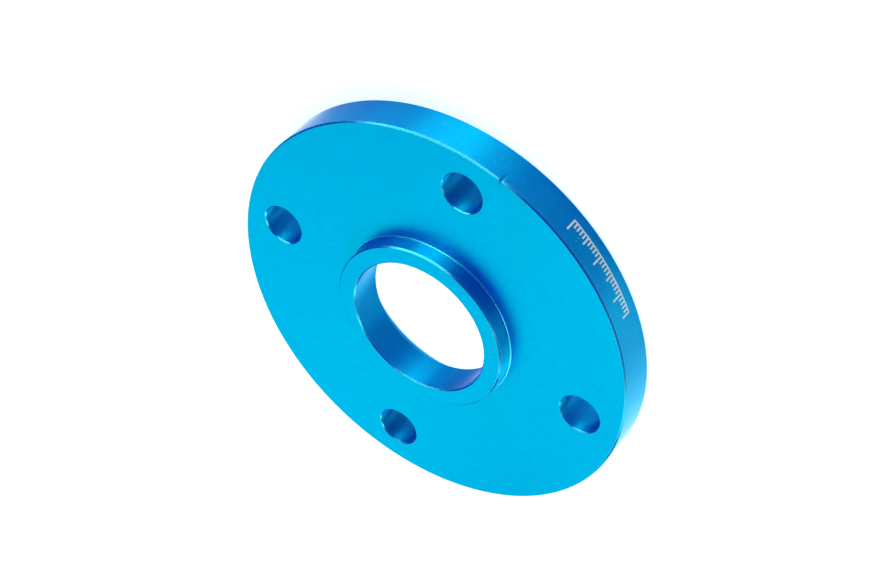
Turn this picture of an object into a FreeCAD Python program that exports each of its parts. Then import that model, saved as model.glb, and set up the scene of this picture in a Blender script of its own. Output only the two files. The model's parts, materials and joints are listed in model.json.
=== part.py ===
import FreeCAD, Part
import math
import os
import Sketcher

# Drive shaft spacer, turned from one piece of aluminium bar: a flat disc with a raised spigot round its
# bore on the front, a register recess behind that takes the same spigot, and a ring of bolt holes.
# Frame: millimetres, origin at the centre of the back face, +Z along the axis towards the spigot,
# first bolt hole on +X.

DRIVING_SIZES = {
    "disc_thickness": 10,
    "rim_chamfer": 0.4,
    "spigot_diameter": 46,
    "spigot_height": 4.3,
    "spigot_chamfer": 0.4,
    "spigot_root_fillet": 0.4,
    "bore_diameter": 36.5,
    "bore_chamfer": 0.3,
    "register_clearance": 0.1,
    "register_relief": 0.9,
    "register_lead_in": 1.4,
    "bolt_circle_diameter": 86.5,
    "bolt_hole_diameter": 10.5,
    "bolt_hole_chamfer": 0.3,
    "bolt_hole_count": 4,
    "rim_wall": 5.5,
}

# Sizes that follow from the driving ones. The rim wall is the metal between a bolt hole and the rim.
# The recess is the spigot's own size plus its clearance, and is deeper than the spigot is high, so that
# stacked faces meet before the spigot bottoms.
FOLLOWING_SIZES = {
    "spigot_radius": "=spigot_diameter / 2",
    "spigot_top": "=disc_thickness + spigot_height",
    "bore_radius": "=bore_diameter / 2",
    "register_radius": "=(spigot_diameter + register_clearance) / 2",
    "register_depth": "=spigot_height + register_relief",
    "bolt_circle_radius": "=bolt_circle_diameter / 2",
    "bolt_hole_radius": "=bolt_hole_diameter / 2",
    "outer_radius": "=bolt_circle_radius + bolt_hole_radius + rim_wall",
}

SHEET = "dimensions"
FULL_TURN = 360
TOLERANCE = 1e-4


def make_sheet(doc):
    """Spreadsheet with one named cell for each size."""
    sheet = doc.addObject("Spreadsheet::Sheet", SHEET)
    for row, (name, value) in enumerate({**DRIVING_SIZES, **FOLLOWING_SIZES}.items(), start=1):
        sheet.set(f"A{row}", name)
        sheet.set(f"B{row}", str(value))
        sheet.setAlias(f"B{row}", name)
    doc.recompute()
    return sheet


def origin_feature(body, role):
    """One of the body's own origin planes or axes."""
    return next(item for item in body.Origin.OriginFeatures if item.Role == role)


def add_sketch(body, name, role):
    """Empty sketch on one of the body's origin planes."""
    sketch = body.newObject("Sketcher::SketchObject", name)
    sketch.AttachmentSupport = [(origin_feature(body, role), "")]
    sketch.MapMode = "FlatFace"
    return sketch


def bind(item, path, size):
    """Tie one property or sketch constraint to a named size."""
    item.setExpression(path, f"{SHEET}.{size}")


def place_wall(sketch, line, direction, size, value):
    """Hold one straight line of the section at a named distance from the origin."""
    index = sketch.addConstraint(Sketcher.Constraint(direction, -1, 1, line, 1, value))
    sketch.renameConstraint(index, size)
    bind(sketch, f"Constraints.{size}", size)


def draw_section(body, sheet):
    """Half section of the turned blank, right of the axis, with all its corners still sharp."""
    walls = [
        ("DistanceX", "bore_radius"),
        ("DistanceY", "spigot_top"),
        ("DistanceX", "spigot_radius"),
        ("DistanceY", "disc_thickness"),
        ("DistanceX", "outer_radius"),
        ("DistanceY", None),
        ("DistanceX", "register_radius"),
        ("DistanceY", "register_depth"),
    ]
    places = [sheet.get(size) if size else 0 for _, size in walls]
    sketch = add_sketch(body, "section", "XZ_Plane")
    count = len(walls)
    corners = []
    for line, (direction, _) in enumerate(walls):
        across, along = places[line], places[line - 1]
        corners.append((across, along, 0) if direction == "DistanceX" else (along, across, 0))
    for line in range(count):
        start = FreeCAD.Vector(*corners[line])
        end = FreeCAD.Vector(*corners[(line + 1) % count])
        sketch.addGeometry(Part.LineSegment(start, end), False)
    for line in range(count):
        sketch.addConstraint(Sketcher.Constraint("Coincident", line, 2, (line + 1) % count, 1))
    for line, (direction, size) in enumerate(walls):
        upright = direction == "DistanceX"
        sketch.addConstraint(Sketcher.Constraint("Vertical" if upright else "Horizontal", line))
        if size:
            place_wall(sketch, line, direction, size, places[line])
        else:
            sketch.addConstraint(Sketcher.Constraint("PointOnObject", line, 1, -1))
    return sketch


def turn_blank(body, sheet):
    """Solid of revolution about the shaft axis."""
    sketch = draw_section(body, sheet)
    blank = body.newObject("PartDesign::Revolution", "turned_blank")
    blank.Profile = sketch
    blank.ReferenceAxis = (sketch, ["V_Axis"])
    blank.Angle = FULL_TURN
    body.Document.recompute()
    return blank


def ring_edges(shape, radius, heights, offset=0):
    """Names of the round edges of one radius, at the given heights and distance from the axis."""
    names = []
    for number, edge in enumerate(shape.Edges, start=1):
        curve = edge.Curve
        if not isinstance(curve, Part.Circle) or abs(curve.Radius - radius) > TOLERANCE:
            continue
        centre = curve.Center
        level = any(abs(centre.z - height) < TOLERANCE for height in heights)
        if level and abs(math.hypot(centre.x, centre.y) - offset) < TOLERANCE:
            names.append(f"Edge{number}")
    return names


def dress(body, kind, name, edges, size):
    """Chamfer or fillet on the named edges of the body as it stands."""
    base = body.Tip
    feature = body.newObject(kind, name)
    feature.Base = (base, edges)
    bind(feature, "Radius" if kind.endswith("Fillet") else "Size", size)
    body.Document.recompute()
    return feature


def break_turned_edges(body, sheet):
    """Chamfers and the root fillet that the lathe leaves."""
    chamfer = "PartDesign::Chamfer"
    top = sheet.spigot_top
    face = sheet.disc_thickness
    floor = sheet.register_depth
    cuts = [
        (chamfer, "rim_edges", sheet.outer_radius, [0, face], "rim_chamfer"),
        (chamfer, "spigot_edge", sheet.spigot_radius, [top], "spigot_chamfer"),
        (chamfer, "bore_edges", sheet.bore_radius, [floor, top], "bore_chamfer"),
        (chamfer, "register_mouth", sheet.register_radius, [0], "register_lead_in"),
        ("PartDesign::Fillet", "spigot_root", sheet.spigot_radius, [face], "spigot_root_fillet"),
    ]
    for kind, name, radius, heights, size in cuts:
        edges = ring_edges(body.Shape, radius, heights)
        assert len(edges) == len(heights), name
        dress(body, kind, name, edges, size)


def drill_bolt_holes(body, sheet):
    """One hole through the disc, repeated round the axis, then chamfered on both faces."""
    sketch = add_sketch(body, "bolt_hole", "XY_Plane")
    centre = FreeCAD.Vector(sheet.bolt_circle_radius, 0, 0)
    hole = sketch.addGeometry(Part.Circle(centre, FreeCAD.Vector(0, 0, 1), sheet.bolt_hole_radius), False)
    sketch.addConstraint(Sketcher.Constraint("PointOnObject", hole, 3, -1))
    reach = sketch.addConstraint(Sketcher.Constraint("DistanceX", -1, 1, hole, 3, sheet.bolt_circle_radius))
    sketch.renameConstraint(reach, "bolt_circle_radius")
    bind(sketch, "Constraints.bolt_circle_radius", "bolt_circle_radius")
    width = sketch.addConstraint(Sketcher.Constraint("Radius", hole, sheet.bolt_hole_radius))
    sketch.renameConstraint(width, "bolt_hole_radius")
    bind(sketch, "Constraints.bolt_hole_radius", "bolt_hole_radius")

    solid_before = body.Shape.Volume
    pocket = body.newObject("PartDesign::Pocket", "first_hole")
    pocket.Profile = sketch
    pocket.Type = "ThroughAll"
    pocket.Reversed = True
    body.Document.recompute()
    one_hole = math.pi * sheet.bolt_hole_radius ** 2 * sheet.disc_thickness
    assert abs(solid_before - body.Shape.Volume - one_hole) < one_hole * TOLERANCE, "bolt hole"

    pattern = body.newObject("PartDesign::PolarPattern", "bolt_circle")
    pattern.Originals = [pocket]
    pattern.Axis = (origin_feature(body, "Z_Axis"), [""])
    pattern.Angle = FULL_TURN
    bind(pattern, "Occurrences", "bolt_hole_count")
    body.Tip = pattern
    body.Document.recompute()

    faces = [0, sheet.disc_thickness]
    edges = ring_edges(body.Shape, sheet.bolt_hole_radius, faces, sheet.bolt_circle_radius)
    assert len(edges) == len(faces) * int(sheet.bolt_hole_count), "bolt hole edges"
    dress(body, "PartDesign::Chamfer", "bolt_hole_edges", edges, "bolt_hole_chamfer")


def make_spacer(doc, sheet):
    """The whole part as one body."""
    body = doc.addObject("PartDesign::Body", "spacer")
    body.Label = "spacer"
    turn_blank(body, sheet)
    break_turned_edges(body, sheet)
    drill_bolt_holes(body, sheet)
    body.Placement = FreeCAD.Placement()
    return body


def check(doc, bodies):
    """Stop before anything is written if a feature failed or a shape is unsound."""
    for item in doc.Objects:
        assert not {"Invalid", "Error"} & set(item.State), item.Name
    for body in bodies:
        assert not body.Shape.isNull(), body.Label
        assert body.Shape.isValid(), body.Label
        assert len(body.Shape.Solids) == 1, body.Label


def main():
    doc = FreeCAD.newDocument("drive_shaft_spacer")
    sheet = make_sheet(doc)
    bodies = [make_spacer(doc, sheet)]
    doc.recompute()
    check(doc, bodies)
    os.makedirs("parts", exist_ok=True)
    for body in bodies:
        body.Shape.exportStep(f"parts/{body.Label}.step")


main()
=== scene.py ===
import json
import math

import bmesh
import bpy
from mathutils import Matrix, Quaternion, Vector


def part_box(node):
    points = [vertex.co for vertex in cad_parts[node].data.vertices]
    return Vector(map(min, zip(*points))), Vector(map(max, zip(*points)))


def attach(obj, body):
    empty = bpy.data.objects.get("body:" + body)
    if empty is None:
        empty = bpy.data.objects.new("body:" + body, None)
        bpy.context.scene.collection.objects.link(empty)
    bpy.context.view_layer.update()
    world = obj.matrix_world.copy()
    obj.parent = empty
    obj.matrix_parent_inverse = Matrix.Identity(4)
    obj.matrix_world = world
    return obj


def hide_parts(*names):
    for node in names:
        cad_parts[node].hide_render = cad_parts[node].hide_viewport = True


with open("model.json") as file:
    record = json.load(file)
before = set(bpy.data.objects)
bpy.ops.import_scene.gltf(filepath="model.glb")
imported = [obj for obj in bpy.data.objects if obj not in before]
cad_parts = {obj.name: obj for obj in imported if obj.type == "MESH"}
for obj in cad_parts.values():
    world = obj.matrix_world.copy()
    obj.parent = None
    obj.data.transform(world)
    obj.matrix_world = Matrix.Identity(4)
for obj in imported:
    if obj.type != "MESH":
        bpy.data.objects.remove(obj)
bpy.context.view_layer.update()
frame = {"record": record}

# Lengths are in metres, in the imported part's own frame: the origin is the middle of the back face, and the
# axis runs along +Z

MM = 0.001

# Sizes of the part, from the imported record's mounts and the CAD box


def mount(name):
    """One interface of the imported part, by name."""
    return next(item for item in frame["record"]["mounts"] if item["name"] == name)


def wall_span(item):
    """Lowest and highest height of a round mount's wall."""
    middle = item["pos_m"][2]
    half = item["dims"]["length_mm"] * MM / 2
    return middle - half, middle + half


TOP_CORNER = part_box("spacer")[1]
OUTER_RADIUS = TOP_CORNER.x
SPIGOT_TOP = TOP_CORNER.z
FACE_HEIGHT = mount("front_face")["pos_m"][2]
BORE_RADIUS = mount("bore")["dims"]["r_mm"] * MM
BORE_LOW, BORE_HIGH = wall_span(mount("bore"))
SPIGOT_RADIUS = mount("spigot")["dims"]["r_mm"] * MM
SPIGOT_LOW, SPIGOT_HIGH = wall_span(mount("spigot"))
REGISTER_RADIUS = mount("register")["dims"]["r_mm"] * MM
REGISTER_LOW, REGISTER_DEPTH = wall_span(mount("register"))
BOLT_COUNT = mount("bolts")["dims"]["count"]
BOLT_CIRCLE_RADIUS = mount("bolts")["dims"]["pcd_mm"] * MM / 2
BOLT_HOLE_RADIUS = mount("bolts")["dims"]["hole_r_mm"] * MM

# The register's lead-in is at 45 degrees, so it widens the mouth by its own height

REGISTER_MOUTH = REGISTER_RADIUS + REGISTER_LOW

# Two chamfers that no mount gives

RIM_CHAMFER = 0.4 * MM
HOLE_CHAMFER = 0.3 * MM

# Fineness of the mesh. A margin is the flat ring that lies beside an edge. A bend whose cosine is above the
# last value here counts as straight.

CORNER_ROUND = 0.08 * MM
CORNER_STEPS = 3
FILLET_STEPS = 6
RING_STEPS = 384
HOLE_STEPS = 96
FACE_MARGIN = 1 * MM
HOLE_MARGIN = 0.5 * MM
STRAIGHT_COSINE = 0.999

# Surfaces of the part, in the order of its material slots

SURFACES = ["face", "wall", "bore", "edge", "etched"]

# Etched scale on the rim: a base line with a tick at each millimetre, longer at each fifth and tenth

SCALE_START = math.radians(-117.5)
SCALE_TICKS = 26
SCALE_PITCH = 1 * MM
TICK_WIDTH = 0.42 * MM
HALF_TICK_TURN = TICK_WIDTH / 2 / OUTER_RADIUS
SCALE_FOOT = 3.1 * MM
SCALE_LINE = 0.35 * MM
TICK_HEIGHTS = {10: 3.6 * MM, 5: 2.7 * MM, 1: 1.8 * MM}

# Bruise on the front edge of the rim

BRUISE_TURN = math.radians(-98.7)
BRUISE_REACH = 0.55 * MM
BRUISE_DEPTH = 0.16 * MM
BRUISE_STEPS = 12


def arc_corner(before, corner, after, radius, steps):
    """Points and normals of the arc that rounds one corner of a profile of (radius, height) points."""
    to_before = (before - corner).normalized()
    to_after = (after - corner).normalized()
    half_angle = to_before.angle(to_after) / 2
    reach = radius / math.tan(half_angle)
    centre = corner + (to_before + to_after).normalized() * (radius / math.sin(half_angle))
    start = corner + to_before * reach - centre
    end = corner + to_after * reach - centre
    sweep = math.pi - 2 * half_angle
    points = []
    for step in range(steps + 1):
        share = step / steps
        blend = start * math.sin((1 - share) * sweep) + end * math.sin(share * sweep)
        from_centre = blend / math.sin(sweep)
        points.append((centre + from_centre, from_centre.normalized()))
    return points


def right_hand(travel):
    """Unit normal on the right of a direction of travel, which is the open side of every profile here."""
    return Vector((travel.y, -travel.x)).normalized()


def rounded_profile(corners, rounds=None):
    """Open profile with its inner corners rounded, as (point, normal, surface that follows) triples.

    corners are (radius, height, surface that follows). A corner in line with its neighbours stays plain.
    rounds gives a corner, by its number, its own (radius, steps, surface) in place of the usual ones.
    """
    points = [Vector(corner[:2]) for corner in corners]
    profile = []
    last = len(corners) - 1
    for index, corner in enumerate(points):
        surface = corners[index][2]
        before = points[max(index - 1, 0)]
        after = points[min(index + 1, last)]
        facing = right_hand(after - before)
        at_end = index in (0, last)
        if at_end or right_hand(corner - before).dot(right_hand(after - corner)) > STRAIGHT_COSINE:
            profile.append((corner, facing, surface))
            continue
        radius, steps, round_surface = (rounds or {}).get(index, (CORNER_ROUND, CORNER_STEPS, "edge"))
        arc = arc_corner(before, corner, after, radius, steps)
        for number, (point, normal) in enumerate(arc):
            open_side = normal if normal.dot(facing) > 0 else -normal
            profile.append((point, open_side, surface if number == steps else round_surface))
    return profile


def even_turns(count):
    """Angles evenly spread over the full turn."""
    return [2 * math.pi * step / count for step in range(count)]


def sweep_rings(mesh, normals, profile, centre, turns):
    """Surface of revolution round an upright axis. Returns its rings of vertices.

    normals gets one entry for each new vertex. The UV map runs round the surface and along its profile,
    which gives the sheen of the turned walls its direction.
    """
    rings = []
    for point, normal, _ in profile:
        ring = []
        for turn in turns:
            x, y = math.cos(turn), math.sin(turn)
            ring.append(mesh.verts.new((centre[0] + point.x * x, centre[1] + point.x * y, point.y)))
            normals.append(Vector((normal.x * x, normal.x * y, normal.y)))
        rings.append(ring)
    count = len(turns)
    uv_map = mesh.loops.layers.uv.verify()
    for index in range(len(rings) - 1):
        lower, upper = rings[index], rings[index + 1]
        for step in range(count):
            after = (step + 1) % count
            face = mesh.faces.new((lower[step], lower[after], upper[after], upper[step]))
            face.material_index = SURFACES.index(profile[index][2])
            places = [(step, index), (step + 1, index), (step + 1, index + 1), (step, index + 1)]
            for loop, (along, across) in zip(face.loops, places):
                loop[uv_map].uv = (along / count, across / len(rings))
    return rings


def ring_edges(mesh, ring):
    """Edges of one closed ring of vertices."""
    count = len(ring)
    return [mesh.edges.get((ring[i], ring[(i + 1) % count])) for i in range(count)]


def fill_face(mesh, rings):
    """Flat face between its outer ring, its inner ring and the bolt holes."""
    edges = [edge for ring in rings for edge in ring_edges(mesh, ring)]
    filled = bmesh.ops.triangle_fill(
        mesh, use_beauty=True, use_dissolve=False, edges=edges, normal=(0, 0, 1)
    )
    uv_map = mesh.loops.layers.uv.verify()
    for item in filled["geom"]:
        if isinstance(item, bmesh.types.BMFace):
            for loop in item.loops:
                loop[uv_map].uv = loop.vert.co.xy / OUTER_RADIUS


def scale_ticks():
    """Turn of each tick's middle on the rim, and the height of its top."""
    for number in range(SCALE_TICKS):
        step = next(size for size in TICK_HEIGHTS if number % size == 0)
        yield SCALE_START - number * SCALE_PITCH / OUTER_RADIUS, SCALE_FOOT + TICK_HEIGHTS[step]


def rim_turns():
    """Angles of the rim's columns: even ones, the edges of the ticks, and close ones at the bruise."""
    ticks = [turn + side for turn, _ in scale_ticks() for side in (-HALF_TICK_TURN, HALF_TICK_TURN)]
    close_step = BRUISE_REACH / BRUISE_STEPS * 2 / OUTER_RADIUS
    bruise = [BRUISE_TURN + close_step * step for step in range(-BRUISE_STEPS, BRUISE_STEPS + 1)]
    turns = ticks + bruise
    spans = [(min(ticks), max(ticks)), (min(bruise), max(bruise))]
    for turn in even_turns(RING_STEPS):
        turn = turn - 2 * math.pi if turn > math.pi else turn
        if not any(low - HALF_TICK_TURN < turn < high + HALF_TICK_TURN for low, high in spans):
            turns.append(turn)
    return sorted(turns)


def etch_scale(mesh):
    """Gives the faces of the scale on the rim their own surface."""
    ticks = list(scale_ticks())
    first, last = ticks[0][0] + HALF_TICK_TURN, ticks[-1][0] - HALF_TICK_TURN
    line_top = SCALE_FOOT + SCALE_LINE
    for face in mesh.faces:
        spot = face.calc_center_median()
        turn = math.atan2(spot.y, spot.x)
        if math.hypot(spot.x, spot.y) < OUTER_RADIUS - CORNER_ROUND or not last < turn < first:
            continue
        on_line = SCALE_FOOT < spot.z < line_top
        on_tick = any(
            abs(turn - middle) < HALF_TICK_TURN and SCALE_FOOT < spot.z < top for middle, top in ticks
        )
        if on_line or on_tick:
            face.material_index = SURFACES.index("etched")


def bruise_edge(mesh, normals):
    """Presses one small dent into the front edge of the rim, and takes new normals there."""
    mesh.verts.index_update()
    pressed = []
    for vert in mesh.verts:
        spot = vert.co
        turn = math.atan2(spot.y, spot.x)
        along = (turn - BRUISE_TURN) * OUTER_RADIUS
        radius = math.hypot(spot.x, spot.y)
        from_edge = math.hypot(radius - OUTER_RADIUS, spot.z - FACE_HEIGHT)
        if abs(along) > BRUISE_REACH or from_edge > BRUISE_REACH:
            continue
        share = math.cos(math.pi / 2 * along / BRUISE_REACH) ** 2
        share = share * math.cos(math.pi / 2 * from_edge / BRUISE_REACH)
        push = Vector((-math.cos(turn), -math.sin(turn), -1)) * (BRUISE_DEPTH * share)
        vert.co = spot + push
        pressed.append(vert)
    mesh.normal_update()
    for vert in pressed:
        normals[vert.index] = vert.normal.copy()


# Number of the corner below at which the fillet of the spigot's foot lies

SPIGOT_FOOT = 1


def inner_corners():
    """Profile from the front face over the spigot, down the bore and out through the register."""
    top, face = SPIGOT_TOP, FACE_HEIGHT
    spigot_chamfer = top - SPIGOT_HIGH
    bore_chamfer = top - BORE_HIGH
    return [
        (SPIGOT_RADIUS + FACE_MARGIN, face, "face"),
        (SPIGOT_RADIUS, face, "wall"),
        (SPIGOT_RADIUS, SPIGOT_HIGH, "edge"),
        (SPIGOT_RADIUS - spigot_chamfer, top, "face"),
        (BORE_RADIUS + bore_chamfer, top, "edge"),
        (BORE_RADIUS, BORE_HIGH, "bore"),
        (BORE_RADIUS, BORE_LOW, "edge"),
        (BORE_RADIUS + BORE_LOW - REGISTER_DEPTH, REGISTER_DEPTH, "face"),
        (REGISTER_RADIUS, REGISTER_DEPTH, "bore"),
        (REGISTER_RADIUS, REGISTER_LOW, "bore"),
        (REGISTER_MOUTH, 0, "face"),
        (REGISTER_MOUTH + FACE_MARGIN, 0, "face"),
    ]


def outer_corners():
    """Profile from the back face round the rim to the front face, with the levels of the scale."""
    face = FACE_HEIGHT
    levels = [SCALE_FOOT, SCALE_FOOT + SCALE_LINE]
    levels += sorted(SCALE_FOOT + height for height in TICK_HEIGHTS.values())
    return [
        (OUTER_RADIUS - RIM_CHAMFER - FACE_MARGIN, 0, "face"),
        (OUTER_RADIUS - RIM_CHAMFER, 0, "edge"),
        (OUTER_RADIUS, RIM_CHAMFER, "wall"),
        *[(OUTER_RADIUS, level, "wall") for level in levels],
        (OUTER_RADIUS, face - RIM_CHAMFER, "edge"),
        (OUTER_RADIUS - RIM_CHAMFER, face, "face"),
        (OUTER_RADIUS - RIM_CHAMFER - FACE_MARGIN, face, "face"),
    ]


def hole_corners():
    """Profile of one bolt hole from the front face down to the back face."""
    face = FACE_HEIGHT
    wide = BOLT_HOLE_RADIUS + HOLE_CHAMFER
    return [
        (wide + HOLE_MARGIN, face, "face"),
        (wide, face, "edge"),
        (BOLT_HOLE_RADIUS, face - HOLE_CHAMFER, "bore"),
        (BOLT_HOLE_RADIUS, HOLE_CHAMFER, "edge"),
        (wide, 0, "face"),
        (wide + HOLE_MARGIN, 0, "face"),
    ]


def shape_spacer(mesh):
    """The whole part as one closed surface, with the CAD model's sizes. Returns its vertices' normals."""
    normals = []
    axis = (0, 0)
    foot = {SPIGOT_FOOT: (SPIGOT_LOW - FACE_HEIGHT, FILLET_STEPS, "edge")}
    inner_profile = rounded_profile(inner_corners(), foot)
    inner = sweep_rings(mesh, normals, inner_profile, axis, even_turns(RING_STEPS))
    outer = sweep_rings(mesh, normals, rounded_profile(outer_corners()), axis, rim_turns())
    front = [inner[0], outer[-1]]
    back = [inner[-1], outer[0]]
    for turn in even_turns(BOLT_COUNT):
        centre = (BOLT_CIRCLE_RADIUS * math.cos(turn), BOLT_CIRCLE_RADIUS * math.sin(turn))
        rings = sweep_rings(mesh, normals, rounded_profile(hole_corners()), centre, even_turns(HOLE_STEPS))
        front.append(rings[0])
        back.append(rings[-1])
    fill_face(mesh, front)
    fill_face(mesh, back)
    bmesh.ops.recalc_face_normals(mesh, faces=mesh.faces)
    etch_scale(mesh)
    bruise_edge(mesh, normals)
    return normals


def build_spacer():
    """The part as one smooth object, in the place of the CAD model's own mesh."""
    mesh = bmesh.new()
    normals = shape_spacer(mesh)
    for item in mesh.faces:
        item.smooth = True
    data = bpy.data.meshes.new("spacer_body")
    mesh.to_mesh(data)
    mesh.free()
    data.normals_split_custom_set_from_vertices([tuple(normal) for normal in normals])
    body = bpy.data.objects.new("spacer_body", data)
    bpy.context.scene.collection.objects.link(body)
    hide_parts("spacer")
    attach(body, "root")
    return body


# Dyed oxide on aluminium: a cyan metal shine over a deep blue that shows where little is mirrored

SHINE_SHARE = 0.55
FACE_DEPTH = (0.0, 0.03, 0.78)
WALL_DEPTH = (0.0, 0.025, 0.82)
DEPTH_ROUGHNESS = 0.6
FACE_SHINE = (0.0, 0.80, 0.93)
# The walls' shine is darker than the face's. This is partly the turned surfaces' own tone and partly painted
# shade that darkens the turned walls and the bores.
WALL_SHINE_SHADED = (0.0, 0.72, 0.92)
EDGE_SHINE = (0.08, 0.90, 0.98)
GLINT = (0.14, 0.95, 1.0)
EDGE_ON_TINT = (0.1, 0.9, 1.0, 1)

# Turned walls: they scatter light along the axis, a quarter turn from the marks, and have a thin clear coat

TURNED_ANISOTROPY = 1.0
QUARTER_TURN = 0.25
COAT_WEIGHT = 1.0
COAT_IOR = 1.08
COAT_ROUGHNESS = 0.12

# Size of each pattern in the finish

GRAIN_SIZE = 0.16 * MM
GRAIN_DEPTH = 0.003 * MM
MARK_WIDTH = 0.22 * MM
MARK_LENGTH = 14 * MM
MARK_DEPTH = 0.006 * MM
MOTTLE_SIZE = 2.2 * MM
CLOUD_SIZE = 11 * MM
SPECK_SIZE = 0.5 * MM

# Patches of tone: the noise values between which they fade, and their share of the shine's and the depth's
# colour

PATCH_SPAN = (0.12, 0.36)
SHINE_PATCH = 0.96
DEPTH_PATCH = 0.88

# Cloudy gloss, as shares of the roughness

GLOSS_SPAN = (0.93, 1.07)

# Light specks: the noise values above which they show, and the width of their soft edge

FEW_SPECKS = 0.8
MORE_SPECKS = 0.74
SPECK_EDGE = 0.02

# The middle of what a noise node gives, where nearly all of its values lie

NOISE_SPAN = (0.3, 0.7)

# Bare aluminium where the dyed oxide is etched away

ETCHED_COLOUR = (0.66, 0.78, 0.78, 1)
ETCHED_METALLIC = 0.2
ETCHED_ROUGHNESS = 0.5


def new_material(name):
    """Empty node material and its node and link lists."""
    material = bpy.data.materials.new(name)
    material.use_nodes = True
    tree = material.node_tree
    tree.nodes.clear()
    return material, tree.nodes, tree.links


def feed(links, socket, value):
    """Links a socket to another one, or sets it to a constant."""
    if isinstance(value, bpy.types.NodeSocket):
        links.new(value, socket)
    else:
        socket.default_value = value


def add_math(nodes, links, operation, first, second):
    """Maths node over two values, each a socket or a number. Returns its output."""
    node = nodes.new("ShaderNodeMath")
    node.operation = operation
    feed(links, node.inputs[0], first)
    feed(links, node.inputs[1], second)
    return node.outputs["Value"]


def add_vector_math(nodes, links, operation, first, second=None):
    """Vector maths node over one or two values, each a socket or a vector. Returns the node."""
    node = nodes.new("ShaderNodeVectorMath")
    node.operation = operation
    feed(links, node.inputs[0], first)
    if second is not None:
        feed(links, node.inputs[1], second)
    return node


def add_object_place(nodes):
    """The object's own coordinates."""
    return nodes.new("ShaderNodeTexCoord").outputs["Object"]


def add_noise(nodes, links, size, detail=2.0, height=None):
    """Noise over the part's own coordinates, with features of about the given size and height."""
    place = add_object_place(nodes)
    scaled = add_vector_math(nodes, links, "DIVIDE", place, (size, size, height or size))
    noise = nodes.new("ShaderNodeTexNoise")
    noise.inputs["Scale"].default_value = 1
    noise.inputs["Detail"].default_value = detail
    links.new(scaled.outputs["Vector"], noise.inputs["Vector"])
    return noise.outputs["Fac"]


def add_ramp(nodes, links, value, span, colours):
    """Colour that runs from one to the other as a value crosses a span."""
    ramp = nodes.new("ShaderNodeValToRGB")
    for stop, place, colour in zip(ramp.color_ramp.elements, span, colours):
        stop.position = place
        stop.color = (*colour, 1)
    links.new(value, ramp.inputs["Fac"])
    return ramp.outputs["Color"]


def add_range(nodes, links, value, span, levels, interpolation="LINEAR"):
    """Level that goes from one to the other as a value crosses a span."""
    spread = nodes.new("ShaderNodeMapRange")
    spread.interpolation_type = interpolation
    spread.inputs["From Min"].default_value, spread.inputs["From Max"].default_value = span
    spread.inputs["To Min"].default_value, spread.inputs["To Max"].default_value = levels
    links.new(value, spread.inputs["Value"])
    return spread.outputs["Result"]


def add_bump(nodes, links, height, distance, below=None):
    """Bump of the given depth, on top of another one if that is given."""
    bump = nodes.new("ShaderNodeBump")
    bump.inputs["Strength"].default_value = 1
    bump.inputs["Distance"].default_value = distance
    links.new(height, bump.inputs["Height"])
    if below:
        links.new(below, bump.inputs["Normal"])
    return bump.outputs["Normal"]


def add_patches(nodes, links, patches, colour, share):
    """The colour, at a share of its strength in patches."""
    darker = tuple(channel * share for channel in colour)
    return add_ramp(nodes, links, patches, PATCH_SPAN, (darker, colour))


def add_specks(nodes, links, tone, level):
    """A few light specks on a tone, where a fine noise is above the level."""
    speck = add_noise(nodes, links, SPECK_SIZE, detail=1.0)
    glint = add_ramp(nodes, links, speck, (level - SPECK_EDGE, level), ((0, 0, 0), GLINT))
    return add_vector_math(nodes, links, "MAXIMUM", tone, glint).outputs["Vector"]


def add_relief(nodes, links, turned):
    """Fine grain, with turning marks over it on a turned wall."""
    grain = add_noise(nodes, links, GRAIN_SIZE)
    normal = add_bump(nodes, links, grain, GRAIN_DEPTH)
    if turned:
        marks = add_noise(nodes, links, MARK_LENGTH, detail=3.0, height=MARK_WIDTH)
        normal = add_bump(nodes, links, marks, MARK_DEPTH, normal)
    return normal


def add_turned_sheen(nodes, links, shine, depth):
    """Gives both layers the sheen of a turned wall."""
    tangent = nodes.new("ShaderNodeTangent")
    tangent.direction_type = "UV_MAP"
    links.new(tangent.outputs["Tangent"], shine.inputs["Tangent"])
    shine.inputs["Anisotropic"].default_value = TURNED_ANISOTROPY
    shine.inputs["Anisotropic Rotation"].default_value = QUARTER_TURN
    for layer in (depth, shine):
        layer.inputs["Coat Weight"].default_value = COAT_WEIGHT
        layer.inputs["Coat IOR"].default_value = COAT_IOR
        layer.inputs["Coat Roughness"].default_value = COAT_ROUGHNESS


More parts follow.
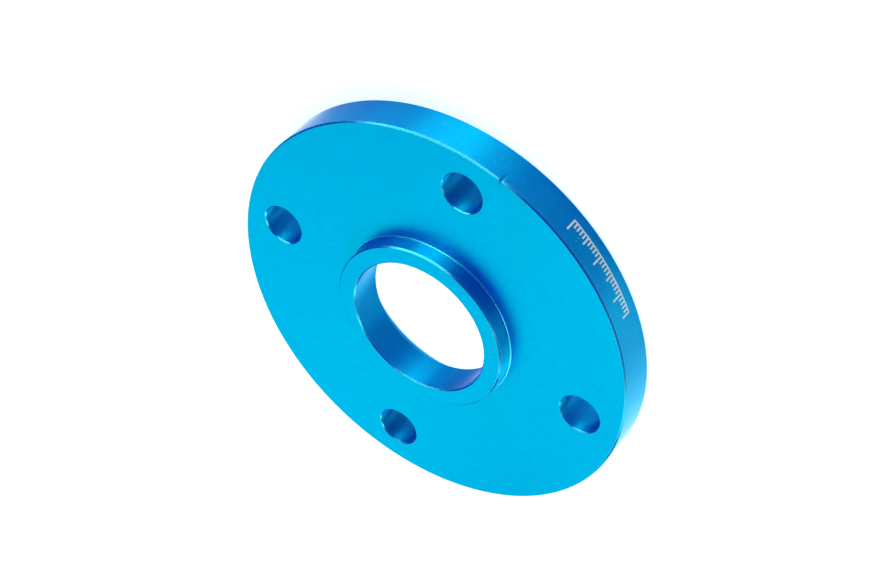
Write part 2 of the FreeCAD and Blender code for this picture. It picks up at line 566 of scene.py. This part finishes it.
def anodised(name, shine_colour, depth_colour, roughness, turned=False, specks=FEW_SPECKS):
    """Finish of one surface of the part. specks is the noise value above which a light speck shows."""
    material, nodes, links = new_material(name)
    mottle = add_noise(nodes, links, MOTTLE_SIZE, detail=4.0)
    cloud = add_noise(nodes, links, CLOUD_SIZE)
    patches = add_math(nodes, links, "MULTIPLY", mottle, cloud)

    shine = nodes.new("ShaderNodeBsdfPrincipled")
    tone = add_patches(nodes, links, patches, shine_colour, SHINE_PATCH)
    links.new(add_specks(nodes, links, tone, specks), shine.inputs["Base Color"])
    gloss = tuple(roughness * share for share in GLOSS_SPAN)
    links.new(add_range(nodes, links, cloud, NOISE_SPAN, gloss), shine.inputs["Roughness"])
    shine.inputs["Metallic"].default_value = 1.0
    shine.inputs["Specular Tint"].default_value = EDGE_ON_TINT

    depth = nodes.new("ShaderNodeBsdfPrincipled")
    deep = add_patches(nodes, links, patches, depth_colour, DEPTH_PATCH)
    links.new(deep, depth.inputs["Base Color"])
    depth.inputs["Roughness"].default_value = DEPTH_ROUGHNESS
    depth.inputs["Specular IOR Level"].default_value = 0.0

    normal = add_relief(nodes, links, turned)
    links.new(normal, shine.inputs["Normal"])
    links.new(normal, depth.inputs["Normal"])
    if turned:
        add_turned_sheen(nodes, links, shine, depth)

    mix = nodes.new("ShaderNodeMixShader")
    mix.inputs["Fac"].default_value = SHINE_SHARE
    links.new(depth.outputs["BSDF"], mix.inputs[1])
    links.new(shine.outputs["BSDF"], mix.inputs[2])
    out = nodes.new("ShaderNodeOutputMaterial")
    links.new(mix.outputs["Shader"], out.inputs["Surface"])
    return material


def etched_metal():
    """Bare silver-grey aluminium of the etched scale."""
    material, nodes, links = new_material("etched_metal")
    shader = nodes.new("ShaderNodeBsdfPrincipled")
    shader.inputs["Base Color"].default_value = ETCHED_COLOUR
    shader.inputs["Metallic"].default_value = ETCHED_METALLIC
    shader.inputs["Roughness"].default_value = ETCHED_ROUGHNESS
    out = nodes.new("ShaderNodeOutputMaterial")
    links.new(shader.outputs["BSDF"], out.inputs["Surface"])
    return material


def finish_spacer(body):
    """Gives the part its materials, in the order of its surfaces."""
    for material in (
        anodised("anodised_face", FACE_SHINE, FACE_DEPTH, roughness=0.36),
        # The wall and bore finishes take the darker shine, which partly holds painted shade.
        anodised("anodised_wall", WALL_SHINE_SHADED, WALL_DEPTH, roughness=0.52, turned=True, specks=MORE_SPECKS),
        anodised("anodised_bore", WALL_SHINE_SHADED, WALL_DEPTH, roughness=0.50, turned=True),
        anodised("anodised_edge", EDGE_SHINE, WALL_DEPTH, roughness=0.25, specks=MORE_SPECKS),
        etched_metal(),
    ):
        body.data.materials.append(material)


# Floor: pale by its own colour, with a glow that only seen, passed and mirrored rays meet. A glow of 1 is
# white, as it is under the part. Round the part, where the lamps light the floor, the seen glow is weaker,
# so that the part's shadow shows. It rises to white between two distances from the axis.

FLOOR_HALF = 20.0
FLOOR_DROP = 0.02 * MM
FLOOR_COLOUR = (0.92, 0.92, 0.92, 1)
SEEN_GLOW = (0.58, 1.0)
SEEN_REACH = (0.25, 0.7)

# The mirrored glow is low. It rises to white on two sides of the part, where the ends of the rim mirror it,
# and under the bore towards its wall. Each side is an angle and the cosines between which the glow rises.

MIRRORED_GLOW = (0.42, 1.0)
BRIGHT_SIDES = [
    (math.radians(192), (0.72, 0.97)),
    (math.radians(342), (0.93, 0.98)),
]
BORE_REACH = (0.8 * BORE_RADIUS, 1.02 * BORE_RADIUS)

# The world's strength for seen and passed rays, for mirrored ones and for all others

SEEN_WORLD = 1.0
MIRRORED_WORLD = 0.07
WORLD_LIGHT = 0.05


def add_ray_share(nodes, links, seen, mirrored):
    """Strength for the rays that come from the camera or pass through, and for mirrored ones."""
    path = nodes.new("ShaderNodeLightPath")
    camera_ray = path.outputs["Is Camera Ray"]
    passed_ray = path.outputs["Is Transmission Ray"]
    direct = add_math(nodes, links, "MAXIMUM", camera_ray, passed_ray)
    direct = add_math(nodes, links, "MULTIPLY", direct, seen)
    glossy = add_math(nodes, links, "MULTIPLY", path.outputs["Is Glossy Ray"], mirrored)
    return add_math(nodes, links, "MAXIMUM", direct, glossy)


def add_seen_glow(nodes, links, reach):
    """The floor's glow as it is seen, by the distance from the part's axis."""
    under_part = add_math(nodes, links, "LESS_THAN", reach, OUTER_RADIUS - RIM_CHAMFER)
    beside = add_range(nodes, links, reach, SEEN_REACH, SEEN_GLOW, "SMOOTHSTEP")
    return add_math(nodes, links, "MAXIMUM", under_part, beside)


def add_mirrored_glow(nodes, links, place, reach):
    """The floor's glow as it is mirrored, by the place and its distance from the part's axis."""
    below = add_range(nodes, links, reach, BORE_REACH, MIRRORED_GLOW, "SMOOTHSTEP")
    under_bore = add_math(nodes, links, "LESS_THAN", reach, REGISTER_MOUTH)
    glow = add_math(nodes, links, "MULTIPLY", below, under_bore)
    side = add_vector_math(nodes, links, "NORMALIZE", place).outputs["Vector"]
    for turn, spread in BRIGHT_SIDES:
        towards = (math.cos(turn), math.sin(turn), 0)
        facing = add_vector_math(nodes, links, "DOT_PRODUCT", side, towards).outputs["Value"]
        beside = add_range(nodes, links, facing, spread, MIRRORED_GLOW, "SMOOTHSTEP")
        glow = add_math(nodes, links, "MAXIMUM", glow, beside)
    return glow


def white_floor():
    """Material of the floor."""
    material, nodes, links = new_material("white_floor")
    diffuse = nodes.new("ShaderNodeBsdfDiffuse")
    diffuse.inputs["Color"].default_value = FLOOR_COLOUR
    place = add_object_place(nodes)
    reach = add_vector_math(nodes, links, "LENGTH", place).outputs["Value"]
    seen = add_seen_glow(nodes, links, reach)
    mirrored = add_mirrored_glow(nodes, links, place, reach)
    glow = nodes.new("ShaderNodeEmission")
    links.new(add_ray_share(nodes, links, seen, mirrored), glow.inputs["Strength"])
    both = nodes.new("ShaderNodeAddShader")
    links.new(diffuse.outputs["BSDF"], both.inputs[0])
    links.new(glow.outputs["Emission"], both.inputs[1])
    out = nodes.new("ShaderNodeOutputMaterial")
    links.new(both.outputs["Shader"], out.inputs["Surface"])
    return material


def stage_floor():
    """Wide pale floor that keeps the part's shadow."""
    half = FLOOR_HALF
    corners = [(-half, -half, 0), (half, -half, 0), (half, half, 0), (-half, half, 0)]
    mesh = bpy.data.meshes.new("floor")
    mesh.from_pydata(corners, [], [(0, 1, 2, 3)])
    mesh.materials.append(white_floor())
    floor = bpy.data.objects.new("floor", mesh)
    bpy.context.scene.collection.objects.link(floor)
    floor.location.z = -FLOOR_DROP


def set_world():
    """White to the eye, and an even dim light from all round."""
    world = bpy.data.worlds.new("studio")
    bpy.context.scene.world = world
    world.use_nodes = True
    nodes, links = world.node_tree.nodes, world.node_tree.links
    background = nodes["Background"]
    background.inputs["Color"].default_value = (1, 1, 1, 1)
    strength = add_ray_share(nodes, links, SEEN_WORLD, MIRRORED_WORLD)
    links.new(add_math(nodes, links, "MAXIMUM", strength, WORLD_LIGHT), background.inputs["Strength"])


def direction(azimuth, elevation):
    """Unit vector at an azimuth, counted from +X, and an elevation, both in degrees."""
    turn, rise = math.radians(azimuth), math.radians(elevation)
    return Vector((math.cos(turn) * math.cos(rise), math.sin(turn) * math.cos(rise), math.sin(rise)))


def face_part(item, away, turn):
    """Turns a lamp or camera that stands away from the part to look back, rolled by a turn in degrees."""
    item.rotation_mode = "QUATERNION"
    item.rotation_quaternion = away.to_track_quat("Z", "Y") @ Quaternion((0, 0, 1), math.radians(turn))


# Soft boxes round the part: name, azimuth, elevation and tilt in degrees, width and height in metres, and
# brightness

LIGHT_DISTANCE = 0.8
SOFT_BOXES = [
    ("back_left", 60, 25, 0, 0.42, 0.36, 1.3),
    ("back_middle", 90, 28, 0, 0.42, 0.36, 0.6),
    ("back_left_high", 60, 50, 0, 0.42, 0.36, 0.8),
    ("back_right_high", 100, 52, 0, 0.42, 0.36, 1.2),
    ("back_right", 120, 32, 0, 0.42, 0.36, 3.6),
    ("right_low", 150, 8, 0, 0.42, 0.36, 1.8),
    ("right_high", 161, 52, 0, 0.42, 0.34, 2.8),
    ("key_side", 285, 12, 0, 0.42, 0.36, 2.0),
    ("key_low", 300, 12, 0, 0.42, 0.36, 4.6),
    ("key_strip", 313, 42, -23, 0.92, 0.12, 3.5),
    ("left_high", 0, 45, 0, 0.42, 0.36, 0.3),
    ("top", 71, 86, 0, 0.42, 0.42, 0.9),
]


def add_soft_box(name, azimuth, elevation, tilt, width, height, brightness):
    """Area light that faces the part, with its power set by its brightness."""
    data = bpy.data.lights.new(name, "AREA")
    data.shape = "RECTANGLE"
    data.size = width
    data.size_y = height
    data.energy = brightness * math.pi * width * height
    lamp = bpy.data.objects.new(name, data)
    bpy.context.scene.collection.objects.link(lamp)
    away = direction(azimuth, elevation)
    lamp.location = away * LIGHT_DISTANCE
    face_part(lamp, away, tilt)


# Camera at the photo's own viewing angle, solved from the part's circles there: angles in degrees, lengths
# in metres, and the lens and its sensor in millimetres. The roll turns the view to the photo's frame.

CAMERA_AZIMUTH = 250.93
CAMERA_ELEVATION = 38.315
CAMERA_ROLL = 135.485
CAMERA_DISTANCE = 0.4940
CAMERA_AIM = Vector((-0.00119, -0.00984, 0.01))
NEAR_CLIP = 0.01
LENS = 86.33
SENSOR_WIDTH = 36


def add_camera():
    """The scene's camera."""
    data = bpy.data.cameras.new("camera")
    data.lens = LENS
    data.sensor_width = SENSOR_WIDTH
    data.clip_start = NEAR_CLIP
    camera = bpy.data.objects.new("camera", data)
    bpy.context.scene.collection.objects.link(camera)
    away = direction(CAMERA_AZIMUTH, CAMERA_ELEVATION)
    camera.location = CAMERA_AIM + away * CAMERA_DISTANCE
    face_part(camera, away, -CAMERA_ROLL)
    bpy.context.scene.camera = camera


finish_spacer(build_spacer())
stage_floor()
set_world()
for soft_box in SOFT_BOXES:
    add_soft_box(*soft_box)
add_camera()
bpy.context.scene.view_settings.view_transform = "Standard"
